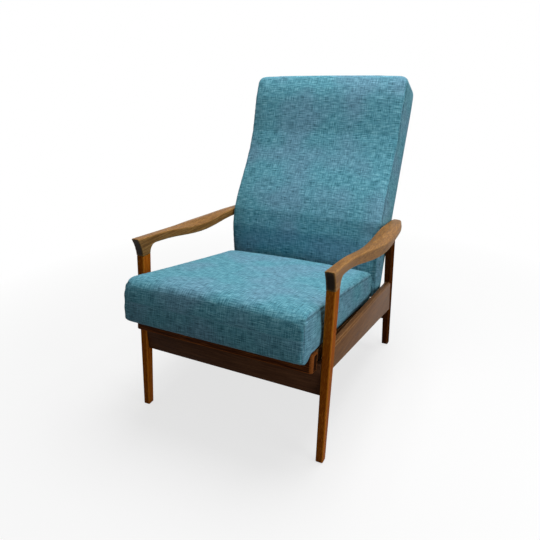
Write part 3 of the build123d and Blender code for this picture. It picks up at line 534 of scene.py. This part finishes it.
# Back: its axes run across, up along the flat rear panel, and forward from it. It is held at the rear. Its side seam
# runs the whole way down, so the place of the front seam lies far below it.
panelPoints = cadPoints("back_rear_panel")
forward = np.linalg.svd(panelPoints - panelPoints.mean(axis=0), full_matrices=False)[2][2]
forward *= -np.sign(forward[1])
backAxes = np.stack([across, np.cross(forward, across), forward])
backSet = {"voxel": 0.0062, "soft": 0.3, "rounds": 2, "held": -0.6, "cap": 0.005, "fill": 0.8,
           "panelShare": 0.72, "seamSteps": 30, "sideDeep": 0.030, "seamDrop": 0.016, "frontSeam": -1.0,
           "seamWide": 0.0030, "seamDeep": 0.0014, "puckerLong": 0.027, "puckerDeep": 0.0003}
back = evenSkin("backCushion", "back_cushion", backSet)
fillCushion(back, readVertices(back, "normal") @ backAxes[2] < backSet["held"], backSet["cap"])
layCloth(back, backAxes, backSet)
sewSides(back, backAxes, backSet)
finishPad(back, "back", "back_cushion")

# Rear panel: cloth drawn tight over a board, with no seam.
panelSet = {"voxel": 0.0045, "soft": 0.35, "rounds": 2, "fill": 0.5, "panelShare": 0.8}
rearPanel = evenSkin("backRearPanel", "back_rear_panel", panelSet)
layCloth(rearPanel, backAxes, panelSet)
setFloat(rearPanel, "seamGrooveShade", np.zeros(len(rearPanel.data.vertices)))
finishPad(rearPanel, "back", "back_rear_panel")


# Geometry Nodes: a tree with named inputs, run once on a piece and turned into plain mesh.
def nodeTree(name, inputs):
    tree = bpy.data.node_groups.new(name, "GeometryNodeTree")
    tree.interface.new_socket("Geometry", in_out="INPUT", socket_type="NodeSocketGeometry")
    for label, kind in inputs.items():
        tree.interface.new_socket(label, in_out="INPUT", socket_type="NodeSocket" + kind)
    tree.interface.new_socket("Geometry", in_out="OUTPUT", socket_type="NodeSocketGeometry")
    return tree, addNode(tree, "NodeGroupInput").outputs


def endTree(tree, instances, material):
    real = addNode(tree, "GeometryNodeRealizeInstances", {0: instances})
    dressed = addNode(tree, "GeometryNodeSetMaterial", {"Geometry": real.outputs[0], "Material": material})
    addNode(tree, "NodeGroupOutput", {0: dressed.outputs[0]})


def runTree(made, tree, values):
    grown = made.modifiers.new(tree.name, "NODES")
    grown.node_group = tree
    for item in tree.interface.items_tree:
        if item.in_out == "INPUT" and item.name in values:
            grown[item.identifier] = values[item.name]
    bakeModifiers(made)


# Stitches: a row of small beads of thread along the side seams, a little below them.
stitchSet = {"Pitch": 0.0052, "Long": 0.0036, "Thick": 0.0010, "below": 0.0050, "inFrom": 0.030, "steps": 90,
             "segments": 6, "rings": 4}
stitchTree, given = nodeTree("stitchRow", {
    "Pitch": "Float", "Long": "Float", "Thick": "Float", "Thread": "Material"})
curve = addNode(stitchTree, "GeometryNodeMeshToCurve", {"Mesh": given["Geometry"]})
evenCurve = addNode(stitchTree, "GeometryNodeResampleCurve", {
    "Curve": curve.outputs[0], "Length": given["Pitch"]}, mode="LENGTH")
bead = addNode(stitchTree, "GeometryNodeMeshUVSphere", {
    "Segments": stitchSet["segments"], "Rings": stitchSet["rings"], "Radius": 0.5})
beadSize = addNode(stitchTree, "ShaderNodeCombineXYZ", {0: given["Long"], 1: given["Thick"], 2: given["Thick"]})
tangent = addNode(stitchTree, "GeometryNodeInputTangent")
lie = addNode(stitchTree, "FunctionNodeAlignRotationToVector", {"Vector": tangent.outputs[0]}, axis="X")
beads = addNode(stitchTree, "GeometryNodeInstanceOnPoints", {
    "Points": evenCurve.outputs[0], "Instance": bead.outputs[0], "Rotation": lie.outputs[0],
    "Scale": beadSize.outputs[0]})
endTree(stitchTree, beads.outputs[0], given["Thread"])


def stitchSides(name, skin, axes, settings, body):
    local = readVertices(skin, "co") @ axes.T
    first, last = local[:, 1].min() + stitchSet["inFrom"], local[:, 1].max() - stitchSet["inFrom"]
    edge = shoulderLine(local, settings)
    bpy.context.view_layer.update()
    surface = BVHTree.FromObject(skin, bpy.context.evaluated_depsgraph_get())
    path, links = [], []
    for side in sides.values():
        for step, place in enumerate(np.linspace(first, last, stitchSet["steps"])):
            level = np.interp(place, *edge) - settings["seamDrop"] - stitchSet["below"]
            start = np.array([side, place, level]) @ axes
            spot = surface.ray_cast(Vector(start), Vector((-side, 0, 0)))[0]
            if step:
                links.append((len(path) - 1, len(path)))
            path.append(spot)
    row = meshObject(name, path, [], links)
    runTree(row, stitchTree, {**stitchSet, "Thread": thread})
    smoothByAngle(row, allSmooth)
    settle(row, body, thread, [])


stitchSides("seatStitches", seat, seatAxes, seatSet, "seat")
stitchSides("backStitches", back, backAxes, backSet, "back")
print("side seams stitched")

# Screw heads: a slotted disc on each CAD screw, facing the way its wide end does.
screwSet = {"Radius": 0.0038, "Depth": 0.0012, "Slot": 0.0009, "vertices": 20, "slotLong": 3.0, "slotLift": 0.6,
            "sharpAngle": 30}
screwTree, given = nodeTree("slottedHeads", {
    "Radius": "Float", "Depth": "Float", "Slot": "Float", "Facing": "Vector", "Steel": "Material"})
disc = addNode(screwTree, "GeometryNodeMeshCylinder", {
    "Vertices": screwSet["vertices"], "Radius": given["Radius"], "Depth": given["Depth"]})
slotLong = addNode(screwTree, "ShaderNodeMath", {
    0: given["Radius"], 1: screwSet["slotLong"]}, operation="MULTIPLY")
groove = addNode(screwTree, "ShaderNodeCombineXYZ", {
    0: slotLong.outputs[0], 1: given["Slot"], 2: given["Depth"]})
bar = addNode(screwTree, "GeometryNodeMeshCube", {"Size": groove.outputs[0]})
lift = addNode(screwTree, "ShaderNodeCombineXYZ", {2: given["Depth"]})
lifted = addNode(screwTree, "ShaderNodeVectorMath", {
    0: lift.outputs[0], "Scale": screwSet["slotLift"]}, operation="SCALE")
raised = addNode(screwTree, "GeometryNodeTransform", {
    "Geometry": bar.outputs[0], "Translation": lifted.outputs[0]})
cut = addNode(screwTree, "GeometryNodeMeshBoolean", {
    0: disc.outputs[0], 1: raised.outputs[0]}, operation="DIFFERENCE")
facing = addNode(screwTree, "FunctionNodeAlignRotationToVector", {"Vector": given["Facing"]}, axis="Z")
heads = addNode(screwTree, "GeometryNodeInstanceOnPoints", {
    "Points": given["Geometry"], "Instance": cut.outputs[0], "Rotation": facing.outputs[0]})
endTree(screwTree, heads.outputs[0], given["Steel"])


def islandsOf(name):
    mesh = bmesh.new()
    mesh.from_mesh(nodes[name].data)
    bmesh.ops.remove_doubles(mesh, verts=mesh.verts, dist=weldGap)
    left, islands = set(mesh.verts), []
    while left:
        grown = [left.pop()]
        for vertex in grown:
            near = {edge.other_vert(vertex) for edge in vertex.link_edges} & left
            left -= near
            grown.extend(near)
        islands.append(np.array([nodes[name].matrix_world @ v.co for v in grown]))
    mesh.free()
    return islands


def screwHeads(name, nodeName, body):
    faces = {}
    for points in islandsOf(nodeName):
        middle = (points.min(axis=0) + points.max(axis=0)) / 2
        axis = np.linalg.svd(points - points.mean(axis=0), full_matrices=False)[2][0]
        along = (points - middle) @ axis
        away = np.linalg.norm(points - middle - along[:, None] * axis, axis=1)
        axis = axis * np.sign(along[np.argmax(away)])
        key = tuple(np.round(axis, 2) + 0.0)
        faces.setdefault(key, []).append(middle + axis * np.abs(along).max())
    made = []
    for axis, spots in faces.items():
        group = meshObject(name, spots, [])
        runTree(group, screwTree, {**screwSet, "Facing": axis, "Steel": steel})
        made.append(group)
    whole = bmesh.new()
    for group in made:
        whole.from_mesh(group.data)
    for group in made[1:]:
        bpy.data.objects.remove(group)
    whole.to_mesh(made[0].data)
    whole.free()
    smoothByAngle(made[0], screwSet["sharpAngle"])
    settle(made[0], body, steel, [])


screwHeads("runnerScrewHeads", "runner_screws", "frame")
screwHeads("bracketScrewHeads", "bracket_screws", "seat")
print("screws slotted")

# CAD nodes that show as they are.
finishes = {
    nylon: ["front_foot_glide_left", "front_foot_glide_right", "rear_foot_glide_left", "rear_foot_glide_right",
            "seat_glide_pads_left", "seat_glide_pads_right", "pivot_bush_left", "pivot_bush_right"],
    steel: ["pivot_bolt_left", "pivot_bolt_right", "pivot_spacer_left", "pivot_spacer_right", "slot_bracket_left",
            "slot_bracket_right", "link_pin_left", "link_pin_right", "runner_screws", "bracket_screws"],
    rubber: ["seat_webbing", "back_webbing"],
    beech: ["frame_dowels", "seat_dowels", "back_dowels", "back_stile_left", "back_stile_right", "runner_left",
            "runner_right"],
    beechAcross: ["back_top_rail", "back_middle_rail", "back_bottom_rail"],
}
for finish, nodeNames in finishes.items():
    for shown in nodeNames:
        nodes[shown].data.materials.clear()
        nodes[shown].data.materials.append(finish)
print("hardware finished")

# Camera at the photograph's place, fitted to the solids' corners; angles in degrees, focal length in photo pixels.
cameraSet = {"place": (0.69146, -1.45364, 1.04881), "yaw": 27.34, "pitch": 22.94, "roll": -1.387, "focal": 499.42,
             "photo": 540, "sensor": 36.0}
yaw, pitch, roll = (math.radians(cameraSet[key]) for key in ("yaw", "pitch", "roll"))
camAhead = Vector((-math.sin(yaw) * math.cos(pitch), math.cos(yaw) * math.cos(pitch), -math.sin(pitch)))
camLevel = Vector((math.cos(yaw), math.sin(yaw), 0))
upward = camLevel.cross(camAhead)
camRight = camLevel * math.cos(roll) + upward * math.sin(roll)
camUp = upward * math.cos(roll) - camLevel * math.sin(roll)
camera = bpy.data.objects.new("camera", bpy.data.cameras.new("camera"))
scene.collection.objects.link(camera)
camera.data.sensor_width = cameraSet["sensor"]
camera.data.lens = cameraSet["sensor"] * cameraSet["focal"] / cameraSet["photo"]
camera.matrix_world = Matrix((camRight, camUp, -camAhead)).transposed().to_4x4()
camera.location = cameraSet["place"]
scene.camera = camera

# Studio: a white floor and surround, one wide soft light overhead and a weaker one at the right.
# The floor keeps its shadow near the chair, and glows to plain white further out, so that no horizon shows.
studioSet = {"floor": 90.0, "nearGlow": 0.72, "glowFrom": 0.8, "glowTo": 1.7, "ambient": 0.17, "floorRough": 0.9,
             "floorSeen": "#f7f7f7", "floorLit": "#6c6c6c"}
lights = {"overhead": {"place": (0.30, 0.35, 2.7), "target": (0.0, 0.0, 0.4), "size": 1.9, "power": 63.0},
          "right": {"place": (2.2, -0.7, 0.45), "target": (0.25, -0.3, 0.4), "size": 1.2, "power": 18.5}}


def seenShare(tree):
    rays = addNode(tree, "ShaderNodeLightPath").outputs
    seen = addNode(tree, "ShaderNodeMath", {
        0: rays["Is Camera Ray"], 1: rays["Is Glossy Ray"]}, operation="MAXIMUM")
    through = addNode(tree, "ShaderNodeMath", {
        0: seen.outputs[0], 1: rays["Is Transmission Ray"]}, operation="MAXIMUM")
    return rays, through.outputs[0]


floorMaterial, floorTree, floorShader = newMaterial("paleFloor")
floorRays, floorSeen = seenShare(floorTree)
floorPlace = addNode(floorTree, "ShaderNodeTexCoord")
fromChair = addNode(floorTree, "ShaderNodeVectorMath", {0: floorPlace.outputs["Object"]}, operation="LENGTH")
glowing = addNode(floorTree, "ShaderNodeMapRange", {
    0: fromChair.outputs["Value"], 1: studioSet["glowFrom"], 2: studioSet["glowTo"], 3: studioSet["nearGlow"],
    4: 1.0})
glowShare = addNode(floorTree, "ShaderNodeMath", {0: floorSeen, 1: glowing.outputs[0]}, operation="MULTIPLY")
pale = addNode(floorTree, "ShaderNodeMix", {
    0: floorRays["Is Camera Ray"], 6: hexColour(studioSet["floorLit"]), 7: hexColour(studioSet["floorSeen"])},
    data_type="RGBA")
floorTree.links.new(pale.outputs[2], floorShader.inputs["Base Color"])
floorShader.inputs["Roughness"].default_value = studioSet["floorRough"]
floorShader.inputs["Specular IOR Level"].default_value = 0.0
glow = addNode(floorTree, "ShaderNodeEmission", {"Color": white, "Strength": 1.0})
floorLook = addNode(floorTree, "ShaderNodeMixShader", {
    0: glowShare.outputs[0], 1: floorShader.outputs[0], 2: glow.outputs[0]})
floorTree.links.new(floorLook.outputs[0], floorTree.nodes["Material Output"].inputs[0])
reach = studioSet["floor"] / 2
floorCorners = [(-reach, -reach, 0), (reach, -reach, 0), (reach, reach, 0), (-reach, reach, 0)]
floor = meshObject("floor", floorCorners, [(0, 1, 2, 3)])
floor.data.materials.append(floorMaterial)
world = bpy.data.worlds.new("studio")
world.use_nodes = True
scene.world = world
worldSeen = seenShare(world.node_tree)[1]
strength = addNode(world.node_tree, "ShaderNodeMapRange", {0: worldSeen, 3: studioSet["ambient"], 4: 1.0})
background = world.node_tree.nodes["Background"]
background.inputs["Color"].default_value = white
world.node_tree.links.new(strength.outputs[0], background.inputs["Strength"])
for lampName, lampSet in lights.items():
    lamp = bpy.data.lights.new(lampName, "AREA")
    lamp.shape = "DISK"
    lamp.size = lampSet["size"]
    lamp.energy = lampSet["power"]
    holder = bpy.data.objects.new(lampName, lamp)
    scene.collection.objects.link(holder)
    holder.location = lampSet["place"]
    holder.rotation_euler = (Vector(lampSet["target"]) - holder.location).to_track_quat("-Z", "Y").to_euler()
scene.view_settings.view_transform = "Standard"
print("studio set")
